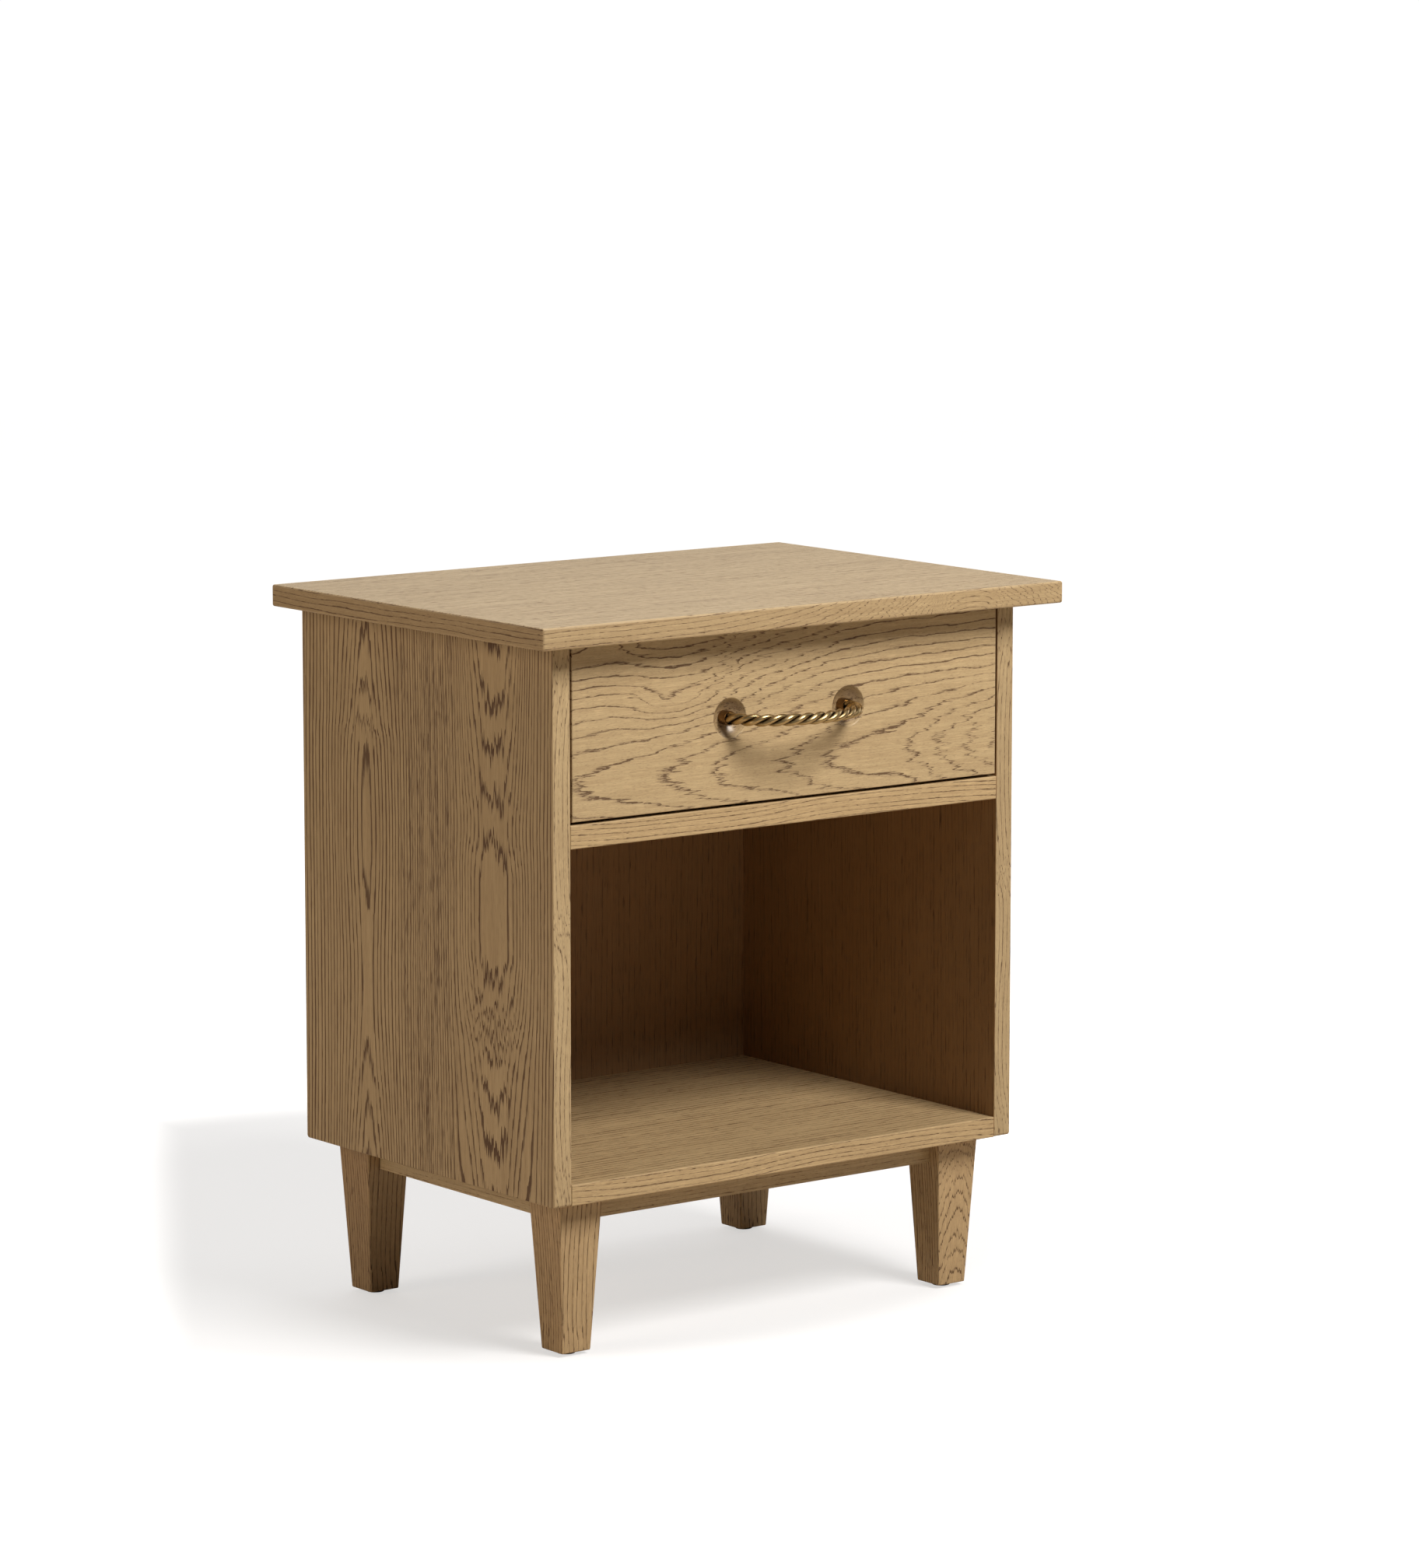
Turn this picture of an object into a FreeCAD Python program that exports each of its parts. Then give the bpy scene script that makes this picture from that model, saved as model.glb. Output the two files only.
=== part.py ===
import FreeCAD, Part
import os
from collections import namedtuple
from math import atan2, cos, sin

# Side table with one inset drawer over an open shelf, on four tapered legs.
# Millimetres. +X is to the right of somebody facing the drawer, +Y is to the back, +Z is up.
# The origin is on the floor, below the centre of the whole table's bounding box.

# ---- driving dimensions -------------------------------------------------------------------
TOP_WIDTH = 560.0
TOP_DEPTH = 400.0
TOP_THICKNESS = 19.0
TOTAL_HEIGHT = 630.0
SIDE_OVERHANG = 31.0
FRONT_OVERHANG = 30.0
PANEL = 18.0
DIVIDER_THICKNESS = 20.0
SHELF_OPENING = 284.0
GLIDE_THICKNESS = 3.0
LEG_HEIGHT = 134.0
LEG_HEAD = 45.0
LEG_FOOT = 30.0
LEG_INSET = 20.0
APRON_HEIGHT = 22.0
BLOCK_HEIGHT = 20.0
BLOCK_RUN = 30.0

# Edge rounding
TOP_ROUND = 2.0
CORNER_ROUND = 3.0
EDGE_ROUND = 1.0
LEG_ROUND = 1.5
DISH_ROUND = 0.8

# Back panel, held in a rebate along the back of each side
BACK_THICKNESS = 6.0
REBATE_DEPTH = 10.0
REBATE_WIDTH = 8.0

# Rails under the top
RAIL_WIDTH = 60.0
RAIL_SETBACK = 22.0

# Drawer
FRONT_THICKNESS = 19.0
FRONT_GAP_SIDE = 1.75
FRONT_GAP_END = 2.5
BOX_LENGTH = 320.0
BOX_HEIGHT = 110.0
BOX_LIFT = 11.0
BOX_BOARD = 12.0
BOX_FLOOR = 6.0
BOX_FLOOR_LIFT = 10.0
GROOVE_DEPTH = 5.0
TAIL_COUNT = 4
TAIL_WIDTH = 19.0
TAIL_FLARE = 2.0

# Twisted bow handle with its two posts, each in a dished recess
HANDLE_SPACING = 128.0
HANDLE_RISE = 43.0
HANDLE_RADIUS = 5.25
HANDLE_END_ARC = 34.0
DISH_RADIUS = 17.5
DISH_DEPTH = 10.0
POST_RADIUS = 6.2
POST_WALL = 0.8
SOCKET_DEPTH = 3.5
SOCKET_FLOOR = 0.5

# Ball-bearing slides. Distances are from the case's inner wall towards the drawer, and heights
# from the middle of the slide. A channel's web starts at web and its flanges reach to tip.
SLIDE_LENGTH = 300.0
SLIDE_WIDTH = 12.7
SLIDE_STEEL = 1.2
Channel = namedtuple("Channel", "web tip half_height lip")
CABINET_CHANNEL = Channel(0.0, 9.5, 22.5, 4.2)
MIDDLE_CHANNEL = Channel(2.2, 10.5, 17.2, 3.8)
DRAWER_CHANNEL = Channel(SLIDE_WIDTH - SLIDE_STEEL, 5.0, 12.4, SLIDE_STEEL)
Cage = namedtuple("Cage", "plate arm_tip ball_place ball_height ball_radius")
OUTER_CAGE = Cage(1.4, 7.6, 6.0, 19.25, 1.9)
INNER_CAGE = Cage(3.9, 8.8, 7.4, 14.2, 1.65)
BALLS_PER_ROW = 6
BALL_PITCH = 20.0
BALL_PLAY = 0.05
CAGE_STEEL = 0.6
CAGE_MARGIN = 10.0

# Fasteners
DOWEL_RADIUS = 4.0
DOWEL_IN_SIDE = 12.0
DOWEL_IN_PANEL = 18.0
PANEL_DOWEL_PLACES = (85.0, 185.0, 285.0)
APRON_DOWEL_RADIUS = 3.0
APRON_DOWEL_DEPTH = 15.0
BOLT_RADIUS = 4.0
BOLT_IN_LEG = 32.0
INSERT_RADIUS = 6.0
INSERT_DEPTH = 14.0
SCREW_RADIUS = 2.0
SCREW_HEAD_RADIUS = 3.8
SCREW_BITE = 12.0
SCREW_SPREAD = 150.0
PAN_HEAD = 2.4
BACK_SCREW_RADIUS = 1.6
BACK_SCREW_HEAD_RADIUS = 3.2
BACK_SCREW_LENGTH = 20.0
SLIDE_SCREW_RADIUS = 1.75
SLIDE_SCREW_HEAD_RADIUS = 3.4
SLIDE_SCREW_PLACES = (35.0, 150.0, 265.0)
CABINET_SCREW_LENGTH = 14.0
DRAWER_SCREW_LENGTH = 11.0
FRONT_SCREW_RISE = 30.0
BLOCK_SCREW_INSET = 7.5
WASHER_RADIUS = 6.0
WASHER_THICKNESS = 1.0
NAIL_RADIUS = 1.2
NAIL_DEPTH = 16.0
GLIDE_RADIUS = 8.0

# ---- derived places -------------------------------------------------------------------------
CASE_WIDTH = TOP_WIDTH - 2 * SIDE_OVERHANG
CASE_DEPTH = TOP_DEPTH - FRONT_OVERHANG
CASE_BOTTOM = GLIDE_THICKNESS + LEG_HEIGHT
CASE_TOP = TOTAL_HEIGHT - TOP_THICKNESS
HALF_CASE = CASE_WIDTH / 2
HALF_INSIDE = HALF_CASE - PANEL
SHELF_TOP = CASE_BOTTOM + PANEL
DIVIDER_BOTTOM = SHELF_TOP + SHELF_OPENING
DIVIDER_TOP = DIVIDER_BOTTOM + DIVIDER_THICKNESS

# The handle stands out furthest in front and the case is furthest back.
HANDLE_REACH = HANDLE_RISE + HANDLE_RADIUS
FRONT = -(CASE_DEPTH - HANDLE_REACH) / 2
BACK = FRONT + CASE_DEPTH
INSIDE_BACK = BACK - REBATE_DEPTH

LEG_X = HALF_CASE - LEG_INSET - LEG_HEAD / 2
LEG_FRONT_Y = FRONT + LEG_INSET + LEG_HEAD / 2
LEG_REAR_Y = BACK - LEG_INSET - LEG_HEAD / 2
LEG_PLACES = {
    "front_left": (-LEG_X, LEG_FRONT_Y),
    "front_right": (LEG_X, LEG_FRONT_Y),
    "rear_left": (-LEG_X, LEG_REAR_Y),
    "rear_right": (LEG_X, LEG_REAR_Y),
}
SIDES = (("left", -1), ("right", 1))

BOX_HALF = HALF_INSIDE - SLIDE_WIDTH
BOX_FRONT = FRONT + FRONT_THICKNESS
BOX_BACK = BOX_FRONT + BOX_LENGTH
BOX_BOTTOM = DIVIDER_TOP + BOX_LIFT
BOX_TOP = BOX_BOTTOM + BOX_HEIGHT
FRONT_BOTTOM = DIVIDER_TOP + FRONT_GAP_END
FRONT_TOP = CASE_TOP - FRONT_GAP_END
HANDLE_Z = (FRONT_BOTTOM + FRONT_TOP) / 2
SLIDE_FRONT = FRONT + RAIL_SETBACK
SLIDE_Z = (BOX_BOTTOM + BOX_TOP) / 2

nodes = {}


# ---- shape helpers --------------------------------------------------------------------------
def point(x, y, z):
    return FreeCAD.Vector(x, y, z)


def box(x, y, z):
    """A box from three (low, high) pairs."""
    return Part.makeBox(x[1] - x[0], y[1] - y[0], z[1] - z[0], point(x[0], y[0], z[0]))


def rod(radius, start, end):
    """A cylinder from one point to another."""
    axis = end - start
    return Part.makeCylinder(radius, axis.Length, start, axis)


def cone(start_radius, end_radius, start, end):
    axis = end - start
    return Part.makeCone(start_radius, end_radius, axis.Length, start, axis)


def cut(shape, tools):
    for tool in tools:
        shape = shape.cut(tool)
    return shape


def rounded(shape, radius, chosen=lambda edge: True):
    """The shape with the chosen straight edges rounded."""
    edges = [edge for edge in shape.Edges if chosen(edge)]
    return shape.makeFillet(radius, edges)


def along(edge, axis):
    """True if the edge runs along that axis, given as "x", "y" or "z"."""
    ends = [vertex.Point for vertex in edge.Vertexes]
    step = ends[1] - ends[0]
    return abs(getattr(step, axis)) > 0.999 * step.Length


def at(edge, axis, value):
    """True if the whole edge has that coordinate."""
    return all(abs(getattr(vertex.Point, axis) - value) < 1e-6 for vertex in edge.Vertexes)


def prism(outline, axis, low, high):
    """A closed outline of (a, b) points, drawn across one axis and drawn out along it."""
    place = {
        "x": lambda a, b: point(low, a, b),
        "y": lambda a, b: point(a, low, b),
        "z": lambda a, b: point(a, b, low),
    }[axis]
    corners = [place(a, b) for a, b in outline]
    face = Part.Face(Part.makePolygon(corners + corners[:1]))
    step = point(*[high - low if name == axis else 0 for name in "xyz"])
    return face.extrude(step)


def countersunk_screw(head, tip, radius=SCREW_RADIUS, head_radius=SCREW_HEAD_RADIUS):
    """A screw whose head is flush with the surface that its head point lies on."""
    axis = (tip - head).normalize()
    neck = head + axis * (head_radius - radius)
    return rod(radius, head, tip).fuse(cone(head_radius, radius, head, neck)).removeSplitter()


def pan_screw(head, tip, radius=SCREW_RADIUS, head_radius=SCREW_HEAD_RADIUS):
    """A screw whose head stands on the surface that its head point lies on."""
    axis = (tip - head).normalize()
    crown = rod(head_radius, head - axis * PAN_HEAD, head)
    return rod(radius, head, tip).fuse(crown).removeSplitter()


# ---- fasteners of the case, which are also the cutters for their own holes ----------------------
def end_dowels(z, distances_from_front):
    """Dowels that join a board between the sides to both of them."""
    made = []
    for _, sign in SIDES:
        outer = sign * (HALF_INSIDE + DOWEL_IN_SIDE)
        inner = sign * (HALF_INSIDE - DOWEL_IN_PANEL)
        for distance in distances_from_front:
            y = FRONT + distance
            made.append(rod(DOWEL_RADIUS, point(outer, y, z), point(inner, y, z)))
    return made


def rail_spans():
    """The front and rear rails' (low, high) in y."""
    front = FRONT + RAIL_SETBACK
    return {"front": (front, front + RAIL_WIDTH), "rear": (INSIDE_BACK - RAIL_WIDTH, INSIDE_BACK)}


def rail_dowels():
    made = []
    for low, high in rail_spans().values():
        quarter = (high - low) / 4
        distances = [low + quarter - FRONT, high - quarter - FRONT]
        made += end_dowels(CASE_TOP - PANEL / 2, distances)
    return made


def top_screws():
    """Up through both rails into the underside of the top."""
    made = []
    for low, high in rail_spans().values():
        middle = (low + high) / 2
        for x in (-SCREW_SPREAD, SCREW_SPREAD):
            head = point(x, middle, CASE_TOP - PANEL)
            made.append(countersunk_screw(head, head + point(0, 0, PANEL + SCREW_BITE)))
    return made


def back_screws():
    """Through the back panel into the boards' rear edges and into the sides."""
    board_heights = (
        CASE_BOTTOM + PANEL / 2,
        (DIVIDER_BOTTOM + DIVIDER_TOP) / 2,
        CASE_TOP - PANEL / 2,
    )
    # Between the boards, the screws into the sides are spaced evenly.
    third = SHELF_OPENING / 3
    side_heights = (SHELF_TOP + third, SHELF_TOP + 2 * third, (DIVIDER_TOP + CASE_TOP) / 2)
    heads = [(x, z) for z in board_heights for x in (-SCREW_SPREAD, 0.0, SCREW_SPREAD)]
    side_x = HALF_INSIDE + REBATE_WIDTH / 2
    heads += [(sign * side_x, z) for z in side_heights for _, sign in SIDES]
    rear = INSIDE_BACK + BACK_THICKNESS
    made = []
    for x, z in heads:
        tip = point(x, rear - BACK_SCREW_LENGTH, z)
        head = point(x, rear, z)
        made.append(countersunk_screw(head, tip, BACK_SCREW_RADIUS, BACK_SCREW_HEAD_RADIUS))
    return made


def slide_screws(head_distance, length):
    """Screws of both slides, whose heads are that far from the middle of the table."""
    made = []
    for _, sign in SIDES:
        for place in SLIDE_SCREW_PLACES:
            head = point(sign * head_distance, SLIDE_FRONT + place, SLIDE_Z)
            tip = head + point(sign * length, 0, 0)
            made.append(countersunk_screw(head, tip, SLIDE_SCREW_RADIUS, SLIDE_SCREW_HEAD_RADIUS))
    return made


def cabinet_slide_screws():
    return slide_screws(HALF_INSIDE - SLIDE_STEEL, CABINET_SCREW_LENGTH)


def drawer_slide_screws():
    return slide_screws(BOX_HALF + SLIDE_STEEL, -DRAWER_SCREW_LENGTH)


def leg_bolts():
    """Hanger bolts, one half in the leg and the other in the insert in the bottom panel."""
    return [
        rod(
            BOLT_RADIUS,
            point(x, y, CASE_BOTTOM - BOLT_IN_LEG),
            point(x, y, CASE_BOTTOM + INSERT_DEPTH),
        )
        for x, y in LEG_PLACES.values()
    ]


def insert_bores():
    return [
        rod(INSERT_RADIUS, point(x, y, CASE_BOTTOM), point(x, y, CASE_BOTTOM + INSERT_DEPTH))
        for x, y in LEG_PLACES.values()
    ]


def apron_z():
    return (CASE_BOTTOM - APRON_HEIGHT, CASE_BOTTOM)


def apron_dowels():
    """Two dowels in each leg, one along X and one along Y, at half the apron's height."""
    made = []
    z = CASE_BOTTOM - APRON_HEIGHT / 2
    reach = LEG_HEAD / 2 - APRON_DOWEL_DEPTH
    far = LEG_HEAD / 2 + APRON_DOWEL_DEPTH
    for x, y in LEG_PLACES.values():
        inward_x = -1 if x > 0 else 1
        inward_y = 1 if y == LEG_FRONT_Y else -1
        made.append(
            rod(
                APRON_DOWEL_RADIUS,
                point(x + inward_x * reach, y, z),
                point(x + inward_x * far, y, z),
            )
        )
        made.append(
            rod(
                APRON_DOWEL_RADIUS,
                point(x, y + inward_y * reach, z),
                point(x, y + inward_y * far, z),
            )
        )
    return made


def corner_frame(x, y):
    """The leg's outer corner and the signs that point inwards from it."""
    inward_x = -1 if x > 0 else 1
    inward_y = 1 if y == LEG_FRONT_Y else -1
    corner_x = x - inward_x * LEG_HEAD / 2
    corner_y = y - inward_y * LEG_HEAD / 2
    return corner_x, corner_y, inward_x, inward_y


def block_screws():
    """Two screws up through each corner block into the bottom panel."""
    made = []
    near = LEG_HEAD / 2 + PANEL / 2 + BLOCK_SCREW_INSET
    far = LEG_HEAD + BLOCK_SCREW_INSET * 1.6
    for x, y in LEG_PLACES.values():
        corner_x, corner_y, inward_x, inward_y = corner_frame(x, y)
        for along_x, along_y in ((far, near), (near, far)):
            head = point(
                corner_x + inward_x * along_x,
                corner_y + inward_y * along_y,
                CASE_BOTTOM - BLOCK_HEIGHT,
            )
            made.append(countersunk_screw(head, head + point(0, 0, BLOCK_HEIGHT + SCREW_BITE)))
    return made


def group(name, shapes):
    """Identical fasteners as one node of separate solids."""
    nodes[name] = Part.makeCompound(shapes)


# ---- case -----------------------------------------------------------------------------------
def make_case():
    bottom_dowels = end_dowels(CASE_BOTTOM + PANEL / 2, PANEL_DOWEL_PLACES)
    divider_dowels = end_dowels((DIVIDER_BOTTOM + DIVIDER_TOP) / 2, PANEL_DOWEL_PLACES)
    rails = rail_dowels()
    tops = top_screws()
    backs = back_screws()
    cabinet_screws = cabinet_slide_screws()
    inserts = insert_bores()
    blocks = block_screws()

    top = box(
        (-TOP_WIDTH / 2, TOP_WIDTH / 2),
        (BACK - TOP_DEPTH, BACK),
        (CASE_TOP, TOTAL_HEIGHT),
    )
    nodes["top_panel"] = cut(rounded(top, TOP_ROUND), tops)

    in_sides = bottom_dowels + divider_dowels + rails + backs + cabinet_screws
    for name, sign in SIDES:
        nodes[name + "_side_panel"] = cut(side_panel(sign), in_sides)

    inside = (-HALF_INSIDE, HALF_INSIDE)
    deep = (FRONT, INSIDE_BACK)
    bottom = eased_front(box(inside, deep, (CASE_BOTTOM, SHELF_TOP)))
    nodes["bottom_panel"] = cut(bottom, bottom_dowels + inserts + blocks + backs)
    divider = eased_front(box(inside, deep, (DIVIDER_BOTTOM, DIVIDER_TOP)))
    nodes["drawer_divider"] = cut(divider, divider_dowels + backs)

    for name, span in rail_spans().items():
        rail = box(inside, span, (CASE_TOP - PANEL, CASE_TOP))
        nodes[f"top_{name}_rail"] = cut(rail, rails + tops + backs)

    half_back = HALF_INSIDE + REBATE_WIDTH
    back = box(
        (-half_back, half_back),
        (INSIDE_BACK, INSIDE_BACK + BACK_THICKNESS),
        (CASE_BOTTOM, CASE_TOP),
    )
    nodes["back_panel"] = cut(back, backs)

    group("bottom_panel_dowels", bottom_dowels)
    group("divider_dowels", divider_dowels)
    group("rail_dowels", rails)
    group("top_panel_screws", tops)
    group("back_panel_screws", backs)
    group("cabinet_slide_screws", cabinet_screws)
    group("corner_block_screws", blocks)


def side_panel(sign):
    """A side with a rebate for the back panel, rounder at its two lower corners."""
    x = sorted((sign * HALF_INSIDE, sign * HALF_CASE))
    side = box(x, (FRONT, BACK), (CASE_BOTTOM, CASE_TOP))
    side = rounded(side, CORNER_ROUND, lambda edge: along(edge, "x") and at(edge, "z", CASE_BOTTOM))
    side = rounded(
        side,
        EDGE_ROUND,
        lambda edge: along(edge, "z") and (at(edge, "y", FRONT) or at(edge, "x", sign * HALF_CASE)),
    )
    rebate_x = sorted((sign * HALF_INSIDE, sign * (HALF_INSIDE + REBATE_WIDTH)))
    return side.cut(box(rebate_x, (INSIDE_BACK, BACK), (CASE_BOTTOM, CASE_TOP)))


def eased_front(board):
    """A board between the sides with the edges of its front face rounded."""
    return rounded(board, EDGE_ROUND, lambda edge: at(edge, "y", FRONT))


# ---- base: legs, aprons, corner blocks, glides -----------------------------------------------
def make_base():
    bolts = leg_bolts()
    dowels = apron_dowels()
    blocks = block_screws()
    legs = {name: leg(x, y) for name, (x, y) in LEG_PLACES.items()}
    glide_nails = []
    for name, (x, y) in LEG_PLACES.items():
        nail = rod(NAIL_RADIUS, point(x, y, 1), point(x, y, GLIDE_THICKNESS + NAIL_DEPTH))
        glide_nails.append(nail)
        nodes["leg_" + name] = cut(legs[name], bolts + dowels + [nail])
        glide = rod(GLIDE_RADIUS, point(x, y, 0), point(x, y, GLIDE_THICKNESS))
        glide = rounded(glide, EDGE_ROUND, lambda edge: at(edge, "z", 0))
        nodes["glide_" + name] = glide.cut(nail)
        nodes["corner_block_" + name] = cut(corner_block(x, y), blocks)

    half = PANEL / 2
    across = (-LEG_X, LEG_X)
    for name, y in (("front", LEG_FRONT_Y), ("rear", LEG_REAR_Y)):
        apron = box(across, (y - half, y + half), apron_z())
        nodes[name + "_apron"] = cut(apron, list(legs.values()) + dowels)
    for name, sign in SIDES:
        x = sign * LEG_X
        apron = box((x - half, x + half), (LEG_FRONT_Y, LEG_REAR_Y), apron_z())
        nodes[name + "_apron"] = cut(apron, list(legs.values()) + dowels)

    inserts = [bore.cut(bolt) for bore, bolt in zip(insert_bores(), bolts)]
    group("leg_bolts", bolts)
    group("leg_bolt_inserts", inserts)
    group("apron_dowels", dowels)
    group("glide_nails", glide_nails)


def leg(x, y):
    """A square leg, tapered on all four faces from its head to its foot."""
    head, foot = LEG_HEAD / 2, LEG_FOOT / 2
    shape = Part.makeWedge(-foot, 0, -foot, -head, -head, foot, LEG_HEIGHT, foot, head, head)
    shape.rotate(point(0, 0, 0), point(1, 0, 0), 90)
    shape.translate(point(x, y, GLIDE_THICKNESS))
    return rounded(shape, LEG_ROUND, lambda edge: not at(edge, "z", CASE_BOTTOM))


def corner_block(x, y):
    """A diagonal block in the corner between two aprons, notched around the leg."""
    corner_x, corner_y, inward_x, inward_y = corner_frame(x, y)
    wall = LEG_HEAD / 2 + PANEL / 2
    reach = LEG_HEAD + BLOCK_RUN
    outline = [
        (reach, wall),
        (wall, reach),
        (wall, LEG_HEAD),
        (LEG_HEAD, LEG_HEAD),
        (LEG_HEAD, wall),
    ]
    placed = [(corner_x + inward_x * a, corner_y + inward_y * b) for a, b in outline]
    return prism(placed, "z", CASE_BOTTOM - BLOCK_HEIGHT, CASE_BOTTOM)


# ---- drawer ---------------------------------------------------------------------------------
def make_drawer():
    screws = drawer_slide_screws()
    front_screws = []
    for x in (-SCREW_SPREAD, SCREW_SPREAD):
        for z in (SLIDE_Z - FRONT_SCREW_RISE, SLIDE_Z + FRONT_SCREW_RISE):
            head = point(x, BOX_FRONT + BOX_BOARD, z)
            front_screws.append(pan_screw(head, head - point(0, BOX_BOARD + SCREW_BITE, 0)))
    handle_screws, washers = handle_fixings()
    fixings = front_screws + handle_screws

    nodes["drawer_front"] = cut(drawer_front(), fixings)
    floor = drawer_floor()
    tails = {(sign, end): dovetails(sign, end) for _, sign in SIDES for end in ("front", "back")}
    for name, sign in SIDES:
        x = sorted((sign * (BOX_HALF - BOX_BOARD), sign * BOX_HALF))
        middle = (BOX_FRONT + BOX_BOARD, BOX_BACK - BOX_BOARD)
        board = box(x, middle, (BOX_BOTTOM, BOX_TOP))
        for end in ("front", "back"):
            for tail in tails[sign, end]:
                board = board.fuse(tail)
        nodes[f"drawer_{name}_side"] = cut(board.removeSplitter(), [floor] + screws)
    for end in ("front", "back"):
        board = box((-BOX_HALF, BOX_HALF), end_span(end), (BOX_BOTTOM, BOX_TOP))
        own_tails = [tail for _, sign in SIDES for tail in tails[sign, end]]
        nodes["drawer_box_" + end] = cut(board, own_tails + [floor] + fixings)
    nodes["drawer_bottom"] = floor

    group("drawer_slide_screws", screws)
    group("drawer_front_screws", front_screws)
    group("handle_screws", handle_screws)
    group("handle_washers", washers)


def end_span(end):
    """The (low, high) in y of the drawer box's front or back board."""
    if end == "front":
        return (BOX_FRONT, BOX_FRONT + BOX_BOARD)
    return (BOX_BACK - BOX_BOARD, BOX_BACK)


def dovetails(sign, end):
    """The tails at one end of one drawer side, wider towards the end of the board."""
    low, high = end_span(end)
    outer, root = (low, high) if end == "front" else (high, low)
    x = sorted((sign * (BOX_HALF - BOX_BOARD), sign * BOX_HALF))
    pitch = BOX_HEIGHT / TAIL_COUNT
    made = []
    for number in range(TAIL_COUNT):
        z = BOX_BOTTOM + (number + 0.5) * pitch
        wide = TAIL_WIDTH / 2
        narrow = wide - TAIL_FLARE
        outline = [(outer, z - wide), (outer, z + wide), (root, z + narrow), (root, z - narrow)]
        made.append(prism(outline, "x", *x))
    return made


def drawer_floor():
    half = BOX_HALF - BOX_BOARD + GROOVE_DEPTH
    inset = BOX_BOARD - GROOVE_DEPTH
    low = BOX_BOTTOM + BOX_FLOOR_LIFT
    return box((-half, half), (BOX_FRONT + inset, BOX_BACK - inset), (low, low + BOX_FLOOR))


def drawer_front():
    """The inset front with a round dish, eased at its rim, for each post of the handle."""
    half = HALF_INSIDE - FRONT_GAP_SIDE
    board = box((-half, half), (FRONT, BOX_FRONT), (FRONT_BOTTOM, FRONT_TOP))
    board = rounded(board, EDGE_ROUND, lambda edge: at(edge, "y", FRONT))
    ball_radius = (DISH_RADIUS**2 + DISH_DEPTH**2) / (2 * DISH_DEPTH)
    seat = FRONT + DISH_DEPTH
    for _, sign in SIDES:
        x = sign * HANDLE_SPACING / 2
        ball = Part.makeSphere(ball_radius, point(x, seat - ball_radius, HANDLE_Z))
        flat = rod(POST_RADIUS, point(x, FRONT, HANDLE_Z), point(x, seat, HANDLE_Z))
        board = board.cut(ball).cut(flat)
    return rounded(board, DISH_ROUND, lambda edge: edge.isClosed() and at(edge, "y", FRONT))


def handle_fixings():
    """A machine screw and a washer behind each post."""
    screws, washers = [], []
    inside_face = BOX_FRONT + BOX_BOARD
    for _, sign in SIDES:
        x = sign * HANDLE_SPACING / 2
        head = point(x, inside_face + WASHER_THICKNESS, HANDLE_Z)
        screw = pan_screw(head, point(x, FRONT + SOCKET_DEPTH + SOCKET_FLOOR, HANDLE_Z))
        washer = rod(WASHER_RADIUS, point(x, inside_face, HANDLE_Z), head)
        screws.append(screw)
        washers.append(washer.cut(screw))
    return screws, washers


def make_handle():
    """A bow of three tangent arcs that enters both posts square to the drawer front."""
    screws, _ = handle_fixings()
    half = HANDLE_SPACING / 2
    bottom = FRONT + SOCKET_DEPTH
    for name, sign in SIDES:
        x = sign * half
        post = rod(POST_RADIUS, point(x, FRONT, HANDLE_Z), point(x, FRONT + DISH_DEPTH, HANDLE_Z))
        socket_radius = POST_RADIUS - POST_WALL
        socket = rod(socket_radius, point(x, FRONT, HANDLE_Z), point(x, bottom, HANDLE_Z))
        nodes["handle_post_" + name] = cut(post, [socket] + screws)

    # The end arcs are centred on the drawer face, that far from the middle of the handle.
    offset = half - HANDLE_END_ARC
    # The middle arc's centre is on the other side of the face, so that it meets them tangent.
    drop = HANDLE_RISE - HANDLE_END_ARC
    centre_depth = (offset**2 - drop**2) / (2 * drop)
    angle = atan2(centre_depth, offset)

    def on_bow(sign, x, out):
        return point(sign * x, FRONT - out, HANDLE_Z)

    def on_end_arc(sign, turn):
        across, out = HANDLE_END_ARC * cos(turn), HANDLE_END_ARC * sin(turn)
        return on_bow(sign, offset + across, out)

    def end_curve(sign):
        stem = Part.LineSegment(on_bow(sign, half, -SOCKET_DEPTH), on_bow(sign, half, 0))
        arc = Part.Arc(on_end_arc(sign, 0), on_end_arc(sign, angle / 2), on_end_arc(sign, angle))
        return [stem.toShape(), arc.toShape()]

    crown = on_bow(1, 0, HANDLE_RISE)
    middle = Part.Arc(on_end_arc(-1, angle), crown, on_end_arc(1, angle)).toShape()
    path = Part.Wire(end_curve(-1) + [middle] + end_curve(1)[::-1])
    start = on_bow(-1, half, -SOCKET_DEPTH)
    profile = Part.Wire(Part.makeCircle(HANDLE_RADIUS, start, point(0, -1, 0)))
    nodes["handle_bar"] = path.makePipeShell([profile], True, False)


# ---- slides ---------------------------------------------------------------------------------
def slide_x(sign, u):
    """X of a distance from the case's inner wall towards the drawer."""
    return sign * (HALF_INSIDE - u)


def slide_box(sign, u, y, w):
    """A box given by distances from the case's wall, places in y and heights about the slide."""
    x = sorted(slide_x(sign, value) for value in u)
    return box(x, y, (SLIDE_Z + w[0], SLIDE_Z + w[1]))


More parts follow.
